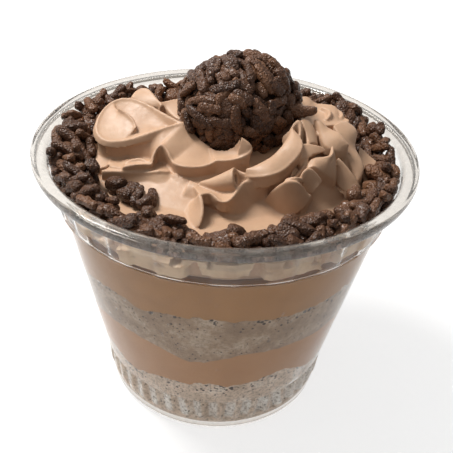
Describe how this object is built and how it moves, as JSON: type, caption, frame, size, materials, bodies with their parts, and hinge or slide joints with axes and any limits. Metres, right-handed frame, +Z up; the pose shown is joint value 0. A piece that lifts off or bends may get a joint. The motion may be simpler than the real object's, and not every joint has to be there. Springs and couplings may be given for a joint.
{
  "type": "cup of brigadeiro cake",
  "caption": "Clear plastic dessert cup with layers of cake and chocolate cream, a piped swirl, a ring of chocolate sprinkles and a sprinkle-covered brigadeiro on top.",
  "frame": {"origin": "centre of the cup's foot, on the surface it stands on", "axes": "+Z up along the cup's axis; the front of the swirl faces -Y, its right side +X"},
  "size_m": [0.098, 0.098, 0.0967],
  "materials": {
    "clear_plastic": "clear, glossy, thermoformed",
    "cake": "porous crumb pressed on the wall",
    "brigadeiro_cream": "smooth, satin",
    "piped_cream": "smooth, soft sheen",
    "chocolate_sprinkle": "rough with small glints"
  },
  "bodies": {
    "root": {"cup": "clear_plastic", "cake_bottom": "cake", "cream_lower": "brigadeiro_cream", "cake_middle": "cake", "cream_upper": "brigadeiro_cream", "piped_cream": "piped_cream", "brigadeiro": "chocolate_sprinkle"}
  },
  "joints": []
}
